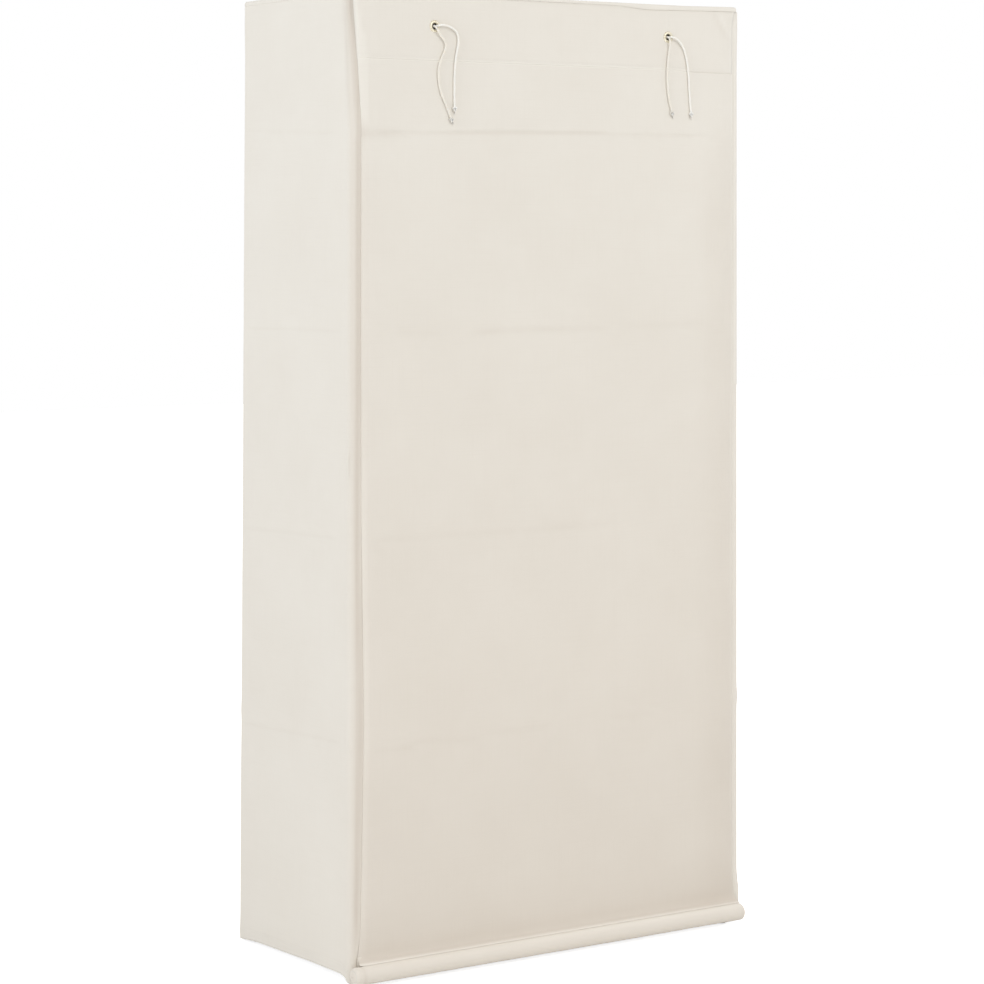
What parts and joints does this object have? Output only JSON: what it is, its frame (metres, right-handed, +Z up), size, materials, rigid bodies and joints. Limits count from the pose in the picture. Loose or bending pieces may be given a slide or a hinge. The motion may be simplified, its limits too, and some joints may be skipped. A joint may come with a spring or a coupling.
{
  "type": "portable fabric wardrobe",
  "caption": "Free-standing wardrobe: plugged steel-tube frame with cloth shelves and a hanging rail, in a pale cloth cover whose front curtain rolls up on a hem bar",
  "frame": {"origin": "on the floor, in the middle of the footprint of the whole object, the hem bar at the front included", "axes": "+Z up; the front, with the curtain, faces -Y; +X is to the right for someone who looks at the front"},
  "size_m": [0.844, 0.416, 1.7],
  "materials": {
    "cover_cloth": "off-white plain-weave cloth, matt, with packing creases",
    "shelf_cloth": "off-white non-woven shelf cloth, matt",
    "tie_cotton": "soft braided cotton cord",
    "frame_steel": "light grey powder-coated steel tube",
    "rod_steel": "plain zinc-coated steel tube",
    "connector_plastic": "dark moulded plastic, fine matt texture",
    "foot_plastic": "dark moulded plastic",
    "cap_plastic": "off-white moulded plastic",
    "eyelet_brass": "pale brass with a rolled edge, a little tarnished"
  },
  "bodies": {
    "wardrobe": {"foot_front_left": "foot_plastic", "base_connector_front_left": "connector_plastic", "shelf_connector_front_left": "connector_plastic", "top_connector_front_left": "connector_plastic", "lower_post_front_left": "frame_steel", "upper_post_front_left": "frame_steel", "foot_front_right": "foot_plastic", "base_connector_front_right": "connector_plastic", "shelf_connector_front_right": "connector_plastic", "top_connector_front_right": "connector_plastic", "lower_post_front_right": "frame_steel", "upper_post_front_right": "frame_steel", "foot_back_left": "foot_plastic", "base_connector_back_left": "connector_plastic", "shelf_connector_back_left": "connector_plastic", "top_connector_back_left": "connector_plastic", "lower_post_back_left": "frame_steel", "upper_post_back_left": "frame_steel", "foot_back_right": "foot_plastic", "base_connector_back_right": "connector_plastic", "shelf_connector_back_right": "connector_plastic", "top_connector_back_right": "connector_plastic", "lower_post_back_right": "frame_steel", "upper_post_back_right": "frame_steel", "base_rail_front": "frame_steel", "base_rail_back": "frame_steel", "base_rail_left": "frame_steel", "base_rail_right": "frame_steel", "shelf_rail_front": "frame_steel", "shelf_rail_back": "frame_steel", "shelf_rail_left": "frame_steel", "shelf_rail_right": "frame_steel", "top_rail_front": "frame_steel", "top_rail_back": "frame_steel", "top_rail_left": "frame_steel", "top_rail_right": "frame_steel", "hanging_rail": "frame_steel", "hanging_rail_bracket_left": "connector_plastic", "hanging_rail_bracket_right": "connector_plastic", "base_shelf": "shelf_cloth", "middle_shelf": "shelf_cloth", "cover_left_panel": "cover_cloth", "cover_right_panel": "cover_cloth", "cover_back_panel": "cover_cloth", "cover_top_panel": "cover_cloth", "cover_front_band": "cover_cloth", "front_curtain": "cover_cloth", "eyelet_left": "eyelet_brass", "tie_left_knot": "tie_cotton", "tie_left_inner": "tie_cotton", "tie_left_outer": "tie_cotton", "eyelet_right": "eyelet_brass", "tie_right_knot": "tie_cotton", "tie_right_inner": "tie_cotton", "tie_right_outer": "tie_cotton"},
    "curtain_foot": {"curtain_hem_seam": "cover_cloth"},
    "hem_bar": {"hem_sleeve": "cover_cloth", "hem_rod": "rod_steel", "hem_rod_cap_left": "cap_plastic", "hem_rod_cap_right": "cap_plastic"}
  },
  "joints": [
    {"name": "curtain_lift", "type": "slide", "parent": "wardrobe", "child": "curtain_foot", "axis": [0, 0, 1], "range_m": [0, 1.38], "deforming": ["front_curtain"]},
    {"name": "hem_turn", "type": "hinge", "parent": "curtain_foot", "child": "hem_bar", "pos_m": [0, -0.1921, 0.0239], "axis": [1, 0, 0], "range_deg": [-3960.5, 0]}
  ],
  "couplings": [
    {"joint": "hem_turn", "follows": "curtain_lift", "rad_per_m": -50.083}
  ]
}
